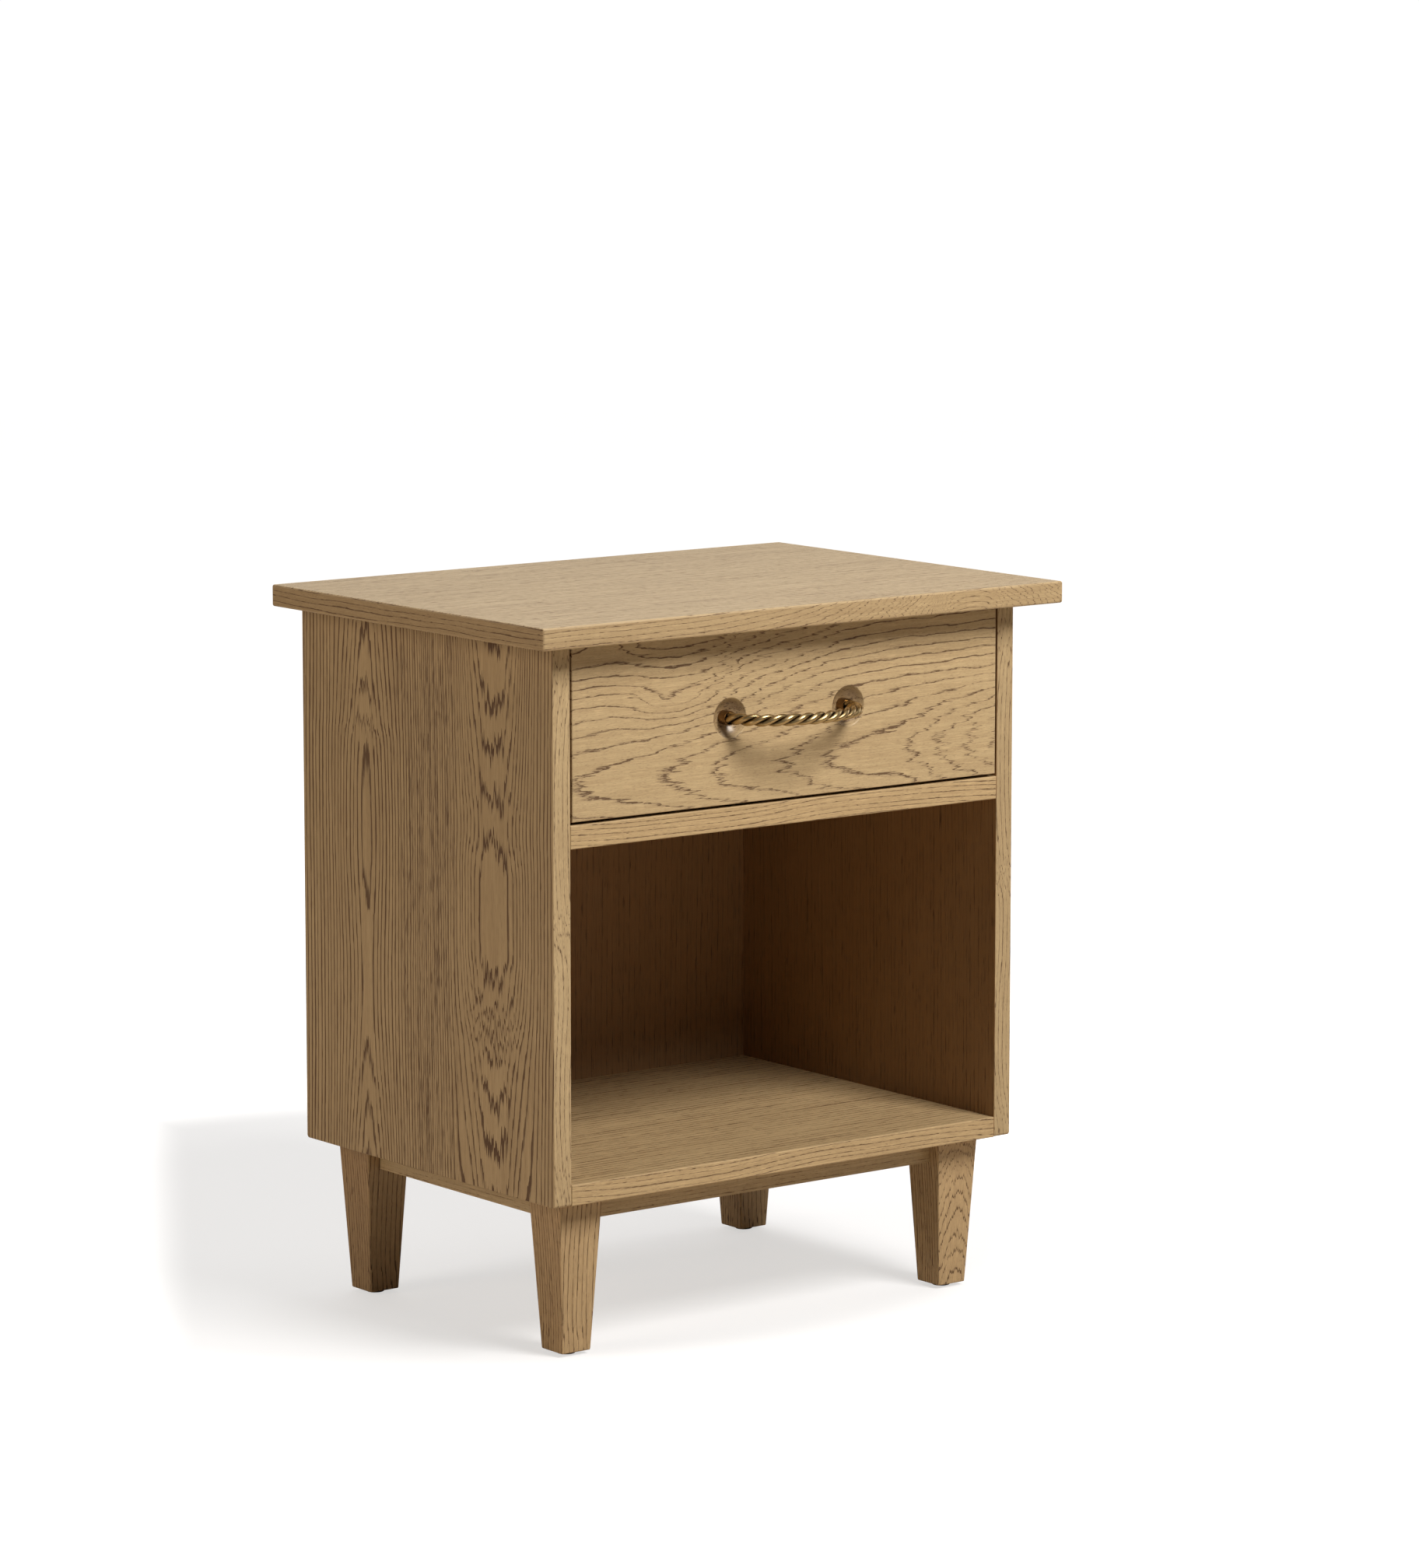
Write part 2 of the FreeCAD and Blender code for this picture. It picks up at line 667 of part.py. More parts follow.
def channel(sign, form):
    """A pressed steel channel: a web, two flanges that reach to the tip, and a lip on each."""
    y = (SLIDE_FRONT, SLIDE_FRONT + SLIDE_LENGTH)
    web = (form.web, form.web + SLIDE_STEEL)
    opens_inwards = form.tip > form.web
    root = web[0] if opens_inwards else web[1]
    inner_tip = form.tip - SLIDE_STEEL if opens_inwards else form.tip + SLIDE_STEEL
    half = form.half_height
    shape = slide_box(sign, web, y, (-half, half))
    for reach, thickness in (((root, form.tip), SLIDE_STEEL), ((inner_tip, form.tip), form.lip)):
        for height in ((half - thickness, half), (-half, thickness - half)):
            shape = shape.fuse(slide_box(sign, reach, y, height))
    return shape.removeSplitter()


def ball_cage(sign, form):
    """A comb-like cage of sheet steel with a row of balls above and another below."""
    length = (BALLS_PER_ROW - 1) * BALL_PITCH + 2 * CAGE_MARGIN
    middle = SLIDE_FRONT + SLIDE_LENGTH / 2
    y = (middle - length / 2, middle + length / 2)
    low, high = form.ball_height - CAGE_STEEL / 2, form.ball_height + CAGE_STEEL / 2
    cage = slide_box(sign, (form.plate, form.plate + CAGE_STEEL), y, (-high, high))
    for arm in ((low, high), (-high, -low)):
        cage = cage.fuse(slide_box(sign, (form.plate, form.arm_tip), y, arm))
    cage = cage.removeSplitter()
    pocket = form.ball_radius + BALL_PLAY
    through = point(0, 0, form.ball_radius)
    balls = []
    for row in (-1, 1):
        for number in range(BALLS_PER_ROW):
            centre = point(
                slide_x(sign, form.ball_place),
                y[0] + CAGE_MARGIN + number * BALL_PITCH,
                SLIDE_Z + row * form.ball_height,
            )
            balls.append(Part.makeSphere(form.ball_radius, centre))
            cage = cage.cut(rod(pocket, centre - through, centre + through))
    return Part.makeCompound([cage] + balls)


def make_slides():
    cabinet_screws = cabinet_slide_screws()
    drawer_screws = drawer_slide_screws()
    for name, sign in SIDES:
        cabinet = channel(sign, CABINET_CHANNEL)
        nodes[f"slide_{name}_cabinet_member"] = cut(cabinet, cabinet_screws)
        nodes[f"slide_{name}_middle_member"] = channel(sign, MIDDLE_CHANNEL)
        drawer = channel(sign, DRAWER_CHANNEL)
        nodes[f"slide_{name}_drawer_member"] = cut(drawer, drawer_screws)
        nodes[f"slide_{name}_outer_ball_cage"] = ball_cage(sign, OUTER_CAGE)
        nodes[f"slide_{name}_inner_ball_cage"] = ball_cage(sign, INNER_CAGE)


make_case()
make_base()
make_drawer()
make_handle()
make_slides()

os.makedirs("parts", exist_ok=True)
for node_name, node_shape in nodes.items():
    if not node_shape.isValid():
        raise SystemExit(f"{node_name} isn't a valid shape")
    node_shape.exportStep(f"parts/{node_name}.step")
    print(f"{node_name}: {len(node_shape.Solids)} solids, {node_shape.Volume / 1000:.2f} cm3")
print(f"{len(nodes)} nodes")
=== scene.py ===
from collections import namedtuple
from math import atan2, cos, pi, radians, sin

import bpy
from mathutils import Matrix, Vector


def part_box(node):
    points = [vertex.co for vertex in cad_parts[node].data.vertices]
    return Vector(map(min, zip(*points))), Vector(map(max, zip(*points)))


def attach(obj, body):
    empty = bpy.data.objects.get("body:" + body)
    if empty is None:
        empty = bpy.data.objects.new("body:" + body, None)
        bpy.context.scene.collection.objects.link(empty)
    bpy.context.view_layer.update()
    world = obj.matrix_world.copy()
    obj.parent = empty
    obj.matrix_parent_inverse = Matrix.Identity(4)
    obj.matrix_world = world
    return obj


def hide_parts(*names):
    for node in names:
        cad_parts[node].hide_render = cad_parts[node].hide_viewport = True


# Looks for a side table with one drawer: oak, an aged brass rope handle, steel slides.
# Metres in the scene. Wood grain is worked out in millimetres, which suits its scale.

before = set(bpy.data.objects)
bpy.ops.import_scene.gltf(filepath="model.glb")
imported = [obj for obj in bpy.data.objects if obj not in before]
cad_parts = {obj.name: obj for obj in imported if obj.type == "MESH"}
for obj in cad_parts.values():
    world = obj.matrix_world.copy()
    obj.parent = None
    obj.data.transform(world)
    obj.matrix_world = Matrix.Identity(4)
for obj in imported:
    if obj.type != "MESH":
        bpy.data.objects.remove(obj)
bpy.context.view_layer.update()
MM = 0.001

# ---- places read from the frame ------------------------------------------------------------------
side_low, side_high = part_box("left_side_panel")
bar_low, bar_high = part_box("handle_bar")
post_low, post_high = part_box("handle_post_right")

CASE_FRONT = side_low.y
HANDLE_Z = (post_low.z + post_high.z) / 2
HALF_SPACING = (post_low.x + post_high.x) / 2
BAR_RADIUS = (bar_high.z - bar_low.z) / 2
BAR_RISE = CASE_FRONT - bar_low.y - BAR_RADIUS
BAR_DEPTH = bar_high.y - CASE_FRONT
CORNERS = ("front_left", "front_right", "rear_left", "rear_right")


# ---- camera, lights and floor --------------------------------------------------------------------
def make_camera():
    """The camera stands in front of the table, to its left, and looks slightly down at it."""
    camera = bpy.data.objects.new("camera", bpy.data.cameras.new("camera"))
    bpy.context.scene.collection.objects.link(camera)
    camera.data.sensor_fit = "VERTICAL"
    camera.data.sensor_height = 36
    camera.data.lens = 137.67
    camera.data.clip_end = 500
    camera.location = (-3.134, CASE_FRONT - 3.956, 1.228)
    camera.rotation_euler = (radians(90 - 8.507), 0, radians(-37.615))
    bpy.context.scene.camera = camera


def make_light(name, size, power, place, colour=(1, 1, 1)):
    """A rectangular softbox, width by height, facing the middle of the table."""
    lamp = bpy.data.lights.new(name, "AREA")
    lamp.shape = "RECTANGLE"
    lamp.size, lamp.size_y = size
    lamp.energy = power
    lamp.color = colour
    light = bpy.data.objects.new(name, lamp)
    bpy.context.scene.collection.objects.link(light)
    light.location = place
    light.rotation_euler = (Vector((0, 0, 0.3)) - Vector(place)).to_track_quat("-Z", "Y").to_euler()
    light.visible_camera = False


# The world is white where the camera sees it. It gives little light, and a bit more to reflections.
ROOM_MIRRORED = 0.16
ROOM_LIGHT = 0.02


def make_world():
    """White behind the table, a bright room in reflections and little light in the shadows."""
    world = bpy.data.worlds.new("studio")
    world.use_nodes = True
    bpy.context.scene.world = world
    tree = world.node_tree
    background = tree.nodes["Background"]
    background.inputs["Color"].default_value = (1, 1, 1, 1)
    path = tree.nodes.new("ShaderNodeLightPath")
    seen = Field(tree, path.outputs["Is Camera Ray"])
    mirrored = Field(tree, path.outputs["Is Glossy Ray"])
    feed(tree, seen + mirrored * ROOM_MIRRORED + ROOM_LIGHT, background.inputs["Strength"])


# The floor has one colour for the camera and a warmer one for the light that it throws on the table.
FLOOR_SEEN = (0.38, 0.386, 0.40)
FLOOR_BOUNCE = (0.56, 0.48, 0.39)
# It glows, so that it is as white as the background away from the table. Around the table it glows
# less, and shadows show. That place is a disc with a soft edge, cut off on the left along a line.
SHADE_MIDDLE_Y = 350
SHADE_EDGE = (500, 640)
SHADE_CUT_SIDEWAYS = (0.848, 0.53)
SHADE_CUT_EDGE = (-490, -420)
GLOW_IN_SHADE = 0.61
GLOW_ADDED_AWAY = 0.4


def make_floor():
    """A pale floor that runs into the white behind it, with soft shadows near the table."""
    bpy.ops.mesh.primitive_circle_add(vertices=96, radius=9, fill_type="NGON")
    floor = bpy.context.object
    floor.name = "floor"
    material, tree, shader = new_material("floor")
    (x, y, _), _ = object_place(tree)
    path = tree.nodes.new("ShaderNodeLightPath")
    seen = Field(tree, path.outputs["Is Camera Ray"])
    back = y - SHADE_MIDDLE_Y
    outside = step(compute(tree, "SQRT", x * x + back * back), *SHADE_EDGE)
    right, forward = SHADE_CUT_SIDEWAYS
    left = step(x * right - y * forward, *SHADE_CUT_EDGE, 1.0, 0.0)
    away = compute(tree, "MAXIMUM", outside, left)
    tree.links.new(blend(tree, seen, FLOOR_BOUNCE, FLOOR_SEEN).socket, shader.inputs["Base Color"])
    shader.inputs["Roughness"].default_value = 0.7
    shader.inputs["Specular IOR Level"].default_value = 0.1
    shader.inputs["Emission Color"].default_value = (1.0, 0.985, 0.965, 1)
    feed(tree, seen * (away * GLOW_ADDED_AWAY + GLOW_IN_SHADE), shader.inputs["Emission Strength"])
    floor.data.materials.append(material)


def make_stage():
    scene = bpy.context.scene
    scene.view_settings.view_transform = "Standard"
    scene.view_settings.look = "None"
    make_world()
    make_floor()
    make_light("key_light", (1.1, 1.1), 100, (0.45, -2.1, 2.5), (1.0, 0.97, 0.93))
    make_light("top_light", (1.8, 2.4), 34, (0.3, 0.7, 3.0))
    make_light("side_light", (1.2, 2.0), 29, (-3.0, 0.4, 1.2), (1.0, 0.87, 0.74))
    make_light("back_light", (4.5, 2.2), 13, (2.0, 3.0, 1.4))
    make_light("far_side_light", (1.2, 2.0), 12, (3.0, 0.0, 1.2))


# ---- numbers and colours that vary over a surface ------------------------------------------------
class Field:
    """A number that varies over a surface: one output of a material's nodes."""

    def __init__(self, tree, socket):
        self.tree = tree
        self.socket = socket

    def __add__(self, other):
        return compute(self.tree, "ADD", self, other)

    def __sub__(self, other):
        return compute(self.tree, "SUBTRACT", self, other)

    def __rsub__(self, other):
        return compute(self.tree, "SUBTRACT", other, self)

    def __mul__(self, other):
        return compute(self.tree, "MULTIPLY", self, other)

    def __truediv__(self, other):
        return compute(self.tree, "DIVIDE", self, other)

    __radd__ = __add__
    __rmul__ = __mul__


def feed(tree, value, socket):
    """Sets a socket to a plain value, or links a field to it."""
    if isinstance(value, Field):
        tree.links.new(value.socket, socket)
    else:
        socket.default_value = value


def compute(tree, operation, *values):
    node = tree.nodes.new("ShaderNodeMath")
    node.operation = operation
    for value, socket in zip(values, node.inputs):
        feed(tree, value, socket)
    return Field(tree, node.outputs[0])


def step(field, low, high, start=0.0, end=1.0):
    """Goes smoothly from start to end while the field goes from low to high."""
    node = field.tree.nodes.new("ShaderNodeMapRange")
    node.interpolation_type = "SMOOTHSTEP"
    ends = {"Value": field, "From Min": low, "From Max": high, "To Min": start, "To Max": end}
    for name, value in ends.items():
        feed(field.tree, value, node.inputs[name])
    return Field(field.tree, node.outputs["Result"])


def noise(x, y, z=0.0, detail=0.0, roughness=0.5):
    """Smooth noise from about -1 to 1, whose features are about one unit of x and y apart."""
    tree = x.tree
    place = tree.nodes.new("ShaderNodeCombineXYZ")
    for value, socket in zip((x, y, z), place.inputs):
        feed(tree, value, socket)
    node = tree.nodes.new("ShaderNodeTexNoise")
    node.inputs["Scale"].default_value = 1.0
    node.inputs["Detail"].default_value = detail
    node.inputs["Roughness"].default_value = roughness
    tree.links.new(place.outputs[0], node.inputs["Vector"])
    return Field(tree, node.outputs[0]) * 2 - 1


def grain(place, seed, width, length, detail=0.0, roughness=0.5):
    """Noise drawn out along the grain, with features about width mm across it and length mm along it.
    place is the surface point across the grain, along it and into the wood."""
    across, along, deep = place
    return noise(across / width, along / length, deep / width + seed, detail, roughness)


def curve(field, points):
    """A smooth curve through a few (input, output) points."""
    xs, ys = zip(*points)
    low, high = min(ys), max(ys)
    start, end = min(xs), max(xs)
    node = field.tree.nodes.new("ShaderNodeFloatCurve")
    line = node.mapping.curves[0]
    while len(line.points) < len(points):
        line.points.new(0.5, 0.5)
    for knot, (x, y) in zip(line.points, sorted(points)):
        knot.location = ((x - start) / (end - start), (y - low) / (high - low))
        knot.handle_type = "AUTO_CLAMPED"
    node.mapping.update()
    feed(field.tree, (field - start) / (end - start), node.inputs["Value"])
    return Field(field.tree, node.outputs[0]) * (high - low) + low


def blend(tree, amount, first, second):
    """A colour between two colours, each of them a plain one or a field."""
    node = tree.nodes.new("ShaderNodeMix")
    node.data_type = "RGBA"
    feed(tree, amount, node.inputs[0])
    for value, socket in ((first, node.inputs[6]), (second, node.inputs[7])):
        feed(tree, value if isinstance(value, Field) else (*value, 1), socket)
    return Field(tree, node.outputs[2])


def new_material(name):
    material = bpy.data.materials.new(name)
    material.use_nodes = True
    return material, material.node_tree, material.node_tree.nodes["Principled BSDF"]


def object_place(tree):
    """The surface point in the part's frame in mm, and the normal, as three fields each."""
    source = tree.nodes.new("ShaderNodeTexCoord")
    found = []
    for name in ("Object", "Normal"):
        parts = tree.nodes.new("ShaderNodeSeparateXYZ")
        tree.links.new(source.outputs[name], parts.inputs[0])
        found.append([Field(tree, socket) for socket in parts.outputs])
    point, normal = found
    return [part * 1000 for part in point], normal


def add_bump(tree, shader, height, strength, distance):
    node = tree.nodes.new("ShaderNodeBump")
    node.inputs["Strength"].default_value = strength
    node.inputs["Distance"].default_value = distance
    feed(tree, height, node.inputs["Height"])
    tree.links.new(node.outputs[0], shader.inputs["Normal"])


# ---- oak -----------------------------------------------------------------------------------------
# A heart is where the growth rings turn back on a face, at a place across the grain. The rings are
# hyperbolas about it, sharper for a smaller depth in mm. A side of 1 or -1 says whether their number
# grows or falls away from it. The drift is the ring's number at the heart, along the grain: where it
# changes, the rings close into arches. A heart may be flat for some mm each way, and where it has a
# reach in mm, its drift fades beyond that.
Heart = namedtuple("Heart", "at depth side drift reach flat", defaults=(0, 0))

# A swell pushes a few rings aside round one place, as a small knot or a wave in the trunk does.
Swell = namedtuple("Swell", "across along width length rings")


class Cut:
    """How a face is cut from the log, with sizes in mm.

    turn     where, across the grain, the second heart takes over from the first
    wave     how far the rings wander, and the width and length of their waves
    teeth    how ragged the ends of the arches are
    dash     how long the pores are
    line     how wide each ring's dark line is, as a share of the ring
    marks    how strong those lines are: (place across the grain, amount) points of a curve
    speckle  how many pores lie between them, given in the same way
    shade    how much painted shade the face has: its colour mixed towards the darker brown, from 0 to 1
    """

    def __init__(self, across, along, hearts, ring=4.0, **other):
        self.across = across
        self.along = along
        self.deep = "xyz".replace(across, "").replace(along, "")
        self.hearts = hearts
        self.ring = ring
        self.turn = other.get("turn", (0, 1))
        self.swells = other.get("swells", ())
        self.wave = other.get("wave", (2.0, 30.0, 160.0))
        self.teeth = other.get("teeth", 14.0)
        self.dash = other.get("dash", 7.0)
        self.line = other.get("line", 0.28)
        self.marks = other.get("marks", even(1.0))
        self.speckle = other.get("speckle", even(0.35))
        self.shade = other.get("shade", 0.0)


def even(amount):
    """The same amount at every place across the grain."""
    return ((-300, amount), (300, amount + 0.001))


def plain_cut(across, along, drift=((-700, 0), (0, 2), (700, 0)), ring=4.0, **other):
    """Nearly straight grain, for edges and for faces with no arches: the heart is far away."""
    far_heart = Heart(-900, 1, 1, drift)
    other = {"marks": even(0.55), **other}
    return Cut(across, along, (far_heart,), ring, **other)


def ring_number(cut, axes, seed):
    """The number, with a fraction, of the growth ring at each point of a face."""
    place = [axes[cut.across], axes[cut.along], axes[cut.deep]]
    across, along, _ = place
    tree = across.tree
    size, width, length = cut.wave
    moved = across + noise(across / width, along / length, seed, 1.0) * size
    # Each fibre starts a little further along than the next one, so arches have ragged ends.
    teeth = grain(place, seed, 4.2, 90, 1.0) * cut.teeth
    splinters = grain(place, seed, 1.1, 40) * (0.6 * cut.teeth)
    ragged = teeth + splinters
    numbers = []
    for heart in cut.hearts:
        aside = moved - heart.at
        if heart.flat:
            aside = compute(tree, "MAXIMUM", compute(tree, "ABSOLUTE", aside) - heart.flat, 0.0)
        away = compute(tree, "SQRT", aside * aside + heart.depth**2) - heart.depth
        raggedness = step(away, 0.0, heart.reach * 0.4, 1.0, 0.3) if heart.reach else 1.0
        drift = curve(ragged * raggedness + along, heart.drift)
        if heart.reach:
            drifts = [number for _, number in heart.drift]
            usual = (min(drifts) + max(drifts)) / 2
            drift = (drift - usual) * step(away, heart.reach * 0.2, heart.reach, 1.0, 0.2) + usual
        numbers.append(away * (heart.side / cut.ring) + drift)
    number = numbers[0]
    if len(numbers) == 2:
        number = number + (numbers[1] - number) * step(moved, *cut.turn)
    for swell in cut.swells:
        up = (across - swell.across) / swell.width
        out = (along - swell.along) / swell.length
        number = number + compute(tree, "EXPONENT", (up * up + out * out) * -1) * swell.rings
    return number


def facing(normal, names):
    """For each name, such as "z" or "-x", a field that is 1 where the surface faces that way, or else 0."""
    tree = normal[0].tree
    sizes = [compute(tree, "ABSOLUTE", part) for part in normal]
    along_x = compute(tree, "GREATER_THAN", sizes[0], compute(tree, "MAXIMUM", sizes[1], sizes[2]))
    along_y = compute(tree, "GREATER_THAN", sizes[1], compute(tree, "MAXIMUM", sizes[0], sizes[2]))
    weights = {"x": along_x, "y": along_y, "z": 1 - along_x - along_y}
    parts = dict(zip("xyz", normal))
    found = []
    for name in names:
        weight = weights[name[-1]]
        if name[0] == "-":
            weight = weight * compute(tree, "LESS_THAN", parts[name[-1]], 0.0)
        if name[0] == "+":
            weight = weight * compute(tree, "GREATER_THAN", parts[name[-1]], 0.0)
        found.append(weight)
    return found


def choose(weights, values):
    """The value whose weight is 1."""
    total = 0.0
    for weight, value in zip(weights, values):
        total = weight * value + total
    return total


def shaded(colour, amount):
    return tuple(amount * part for part in colour)


# Colours of the wood, and how much of each is mixed into it at most.
PALE = (0.515, 0.382, 0.211)
LEG = (0.50, 0.350, 0.185)
# The darker brown of painted shade: faces inside the case are mixed fully towards it, others by their
# shade.
PAINTED_SHADE_BROWN = (0.33, 0.185, 0.080)
STREAK = (0.24, 0.142, 0.062)
PORE = (0.100, 0.050, 0.022)
STREAK_SHARE = 0.34
FLECK_SHARE = 0.22
LIMED_AND_HIGHLIGHT_SHARE = 0.28
EARLY_SHARE = 0.42
PORE_SHARE = 0.85

# The painted shade in a turned hollow grows from this far below its rim to this far, in mm.
HOLLOW_SHADE_DEPTHS = (0.6, 5.0)


def early_wood(place, rings, line, seed):
    """The dark line at the start of each growth ring: 0 between the lines and about 1 on them."""
    tree = rings.tree
    # Rings differ in width and strength, and no ring's edge is quite straight.
    rings = rings + noise(rings * 0.7, rings * 0.1, seed + 3.0) * 0.3
    rings = rings + grain(place, seed, 3.4, 50, 2.0, 0.6) * 0.12
    phase = compute(tree, "FRACT", rings)
    number = compute(tree, "FLOOR", rings)
    strength = noise(number * 3.7, place[1] / 90, seed) * 0.5 + 0.9
    return step(phase, 0.0, 0.04) * step(phase, line * 0.2, line, 1.0, 0.0) * strength


def turned_hollow(wood, rough, place, hollow, seed):
    """A turned hollow gets painted shade, dark blotches of pores and more gloss. hollow is 1 inside it."""
    tree = wood.tree
    spots = grain(place, seed, 1.2, 5, 1.0)
    # Painted shade darkens the hollow; the dark blotches of pores are the wood's own.
    wood = blend(tree, hollow * 0.40, wood, shaded(PORE, 1.3))
    wood = blend(tree, hollow * step(spots, 0.1, 0.4) * 0.7, wood, shaded(PORE, 0.5))
    return wood, rough - hollow * 0.12


def oak(name, cuts, seed, light=PALE, gloss=0.42, dish=None):
    """Lacquered oak. cuts has a Cut for each way that a face may face.
    dish is the place along Y where turned hollows begin."""
    material, tree, shader = new_material(name)
    point, normal = object_place(tree)
    axes = dict(zip("xyz", point))
    weights = facing(normal, cuts)

    def pick(read):
        """What read says of the cut that each point's face has."""
        return choose(weights, [read(cut) for cut in cuts.values()])

    across = pick(lambda cut: axes[cut.across])
    along = pick(lambda cut: axes[cut.along])
    place = [across, along, pick(lambda cut: axes[cut.deep])]
    dash = pick(lambda cut: cut.dash)
    line = pick(lambda cut: cut.line)
    shade = pick(lambda cut: cut.shade)
    marks = pick(lambda cut: curve(axes[cut.across], cut.marks))
    speckle = pick(lambda cut: curve(axes[cut.across], cut.speckle))
    numbers = [ring_number(cut, axes, seed + 10.0 * count) for count, cut in enumerate(cuts.values())]
    early = early_wood(place, choose(weights, numbers), line, seed) * marks

    # Pores are short dark dashes along the grain, crowded into the early wood of each ring.
    streaks = grain(place, seed + 1.0, 3.5, 130, 2.0, 0.6)
    dashes = grain(place, seed, 0.6, dash, 1.0, 0.6)
    crowd = 0.60 - early * 0.85 - speckle * (streaks * 0.5 + 0.3)
    pores = step(dashes - crowd, -0.05, 0.12)

    # Between them lie fine flecks and pale lines, partly limed grain and partly painted highlight along the
    # pores, on wood of an uneven tone.
    fibres = grain(place, seed, 0.9, 60, 2.0, 0.6)
    cloud = noise(across / 45, along / 190, seed, 2.0)
    tone = step(0.5 + fibres * 0.6 + streaks * 0.8 + cloud * 0.5, -0.2, 1.2)
    flecks = step(grain(place, seed + 5.0, 0.45, dash * 0.5), 0.15, 0.5)
    limed_and_highlight = step(grain(place, seed + 9.0, 0.8, dash * 2.5), 0.15, 0.5)

    # Painted shade: each face's colour is mixed towards the darker brown by its shade.
    wood = blend(tree, shade, light, PAINTED_SHADE_BROWN)
    wood = blend(tree, tone * STREAK_SHARE, wood, STREAK)
    wood = blend(tree, flecks * FLECK_SHARE, wood, PORE)
    wood = blend(tree, limed_and_highlight * (LIMED_AND_HIGHLIGHT_SHARE - shade * 0.22), wood, shaded(light, 1.4))
    wood = blend(tree, early * EARLY_SHARE, wood, PORE)
    wood = blend(tree, pores * PORE_SHARE, wood, PORE)
    rough = pores * 0.25 + fibres * 0.04 + gloss
    if dish is not None:
        hollow = step(axes["y"], *[dish + depth for depth in HOLLOW_SHADE_DEPTHS])
        wood, rough = turned_hollow(wood, rough, place, hollow, seed)
    tree.links.new(wood.socket, shader.inputs["Base Color"])
    feed(tree, rough, shader.inputs["Roughness"])
    shader.inputs["Specular IOR Level"].default_value = 0.4
    add_bump(tree, shader, fibres * 0.15 - pores, 0.35, 0.0004)
    return material


# Between the middles of the two hearts on a side panel.
HEART_SPACING = 188


def side_cuts(outer, inner, at, turned):
    """Cuts of a side panel. Its outer face has a bold heart with arches that point down, and a narrow
    one whose arches point up. at is the bold one's place, and turned swaps top and bottom."""
    bottom, top = side_low.z / MM, side_high.z / MM
    bold = (
        (137, 5.85), (175, 5), (217, 4), (255, 3), (275, 2), (293, 1), (324, 0), (345, -0.5),
        (405, -0.5), (428, 0), (450, 0.5), (473, 0), (518, -1), (566, -2), (611, -3),
    )
    narrow = (
        (137, 41), (188, 40), (240, 39), (296, 38.6), (352, 39),
        (420, 39.5), (496, 39), (520, 38), (611, 36),
    )
    if turned:
        bold, narrow = ([(bottom + top - z, number) for z, number in points] for points in (bold, narrow))
    second = at + HEART_SPACING
    hearts = (Heart(at, 12, 1, bold, 44, 11), Heart(second, 8, -1, narrow, 50, 2))
    crowded = (
        (at - 85, 0.6), (at - 40, 0.4), (at, 0.1), (at + 45, 0.6), (at + 90, 1.4), (at + 140, 0.9),
        (second, 0.2), (at + 285, 0.6),
    )
    marks = (
        (at - 85, 1.3), (at - 20, 1.3), (at, 2.4), (at + 20, 1.3), (at + 80, 0.8), (at + 160, 1.6),
        (second, 1.3), (at + 285, 1.7),
    )
    lines = {"wave": (1.5, 20, 160), "teeth": 22.0, "dash": 20.0, "line": 0.40}
    # Painted shade: some on the outer face, and all of it on the inner face, inside the case.
    tones = {"marks": marks, "speckle": crowded, "shade": 0.22}
    face = Cut("y", "z", hearts, 5.0, turn=(at + 60, at + 130), **lines, **tones)
    slanted = ((137, 0), (230, 2.5), (330, 1.5), (400, 5), (480, 5.6), (611, 2))
    return {
        outer: face,
        inner: plain_cut("y", "z", ring=5.0, marks=even(0.4), speckle=even(0.8), dash=20.0, shade=1.0),
        "y": plain_cut("x", "z", slanted, 4.6, marks=even(0.8)),
        "z": plain_cut("x", "y"),
    }


def drawer_cuts():
    """The drawer front has arches that point left, low down, and long waves above them."""
    arches = (
        (-242, 1.2), (-124, 0), (-73, -1), (-1, -2), (46, -3),
        (133, -4), (165, -5), (200, -6), (242, -7.2),
    )
    waves = (
        (-242, 0), (-190, -0.2), (-130, 0.5), (-90, 0.1),
        (-50, -1.6), (10, -3.4), (80, -4.8), (242, -5.4),
    )
    hearts = (Heart(491, 36, 1, arches), Heart(491, 36, 1, waves))
    swells = (Swell(554, -125, 12, 34, 1.2), Swell(611, -200, 14, 45, -1.6))
    lines = {"wave": (2.8, 16, 28), "teeth": 18.0, "dash": 6.0, "line": 0.24}
    tones = {"marks": ((460, 0.9), (520, 0.9), (611, 1.2)), "speckle": even(0.3)}
    face = Cut("z", "x", hearts, 7.4, turn=(505, 565), swells=swells, **lines, **tones)
    edge = plain_cut("y", "x")
    return {"x": face, "y": face, "z": edge}


def slab_cuts():
    """The top's face is nearly plain. Rings show on its edges, with arches near the front's right end."""
    arched = (
        (-280, 25.7), (-80, 24.4), (0, 22.3), (60, 17.7), (130, 8.6), (174, 0), (218, 4.0), (280, 11.5),
    )
    return {
        # Painted shade: much on the side edges and a little on the front edge.
        "x": plain_cut("z", "y", ring=4.6, wave=(3, 20, 90), marks=even(0.9), shade=0.3),
        "y": plain_cut("z", "x", arched, 4.6, marks=even(0.7), teeth=6.0, shade=0.12),
        "z": plain_cut("y", "x", ring=5.0, marks=even(0.8), speckle=even(1.0), dash=12.0),
    }


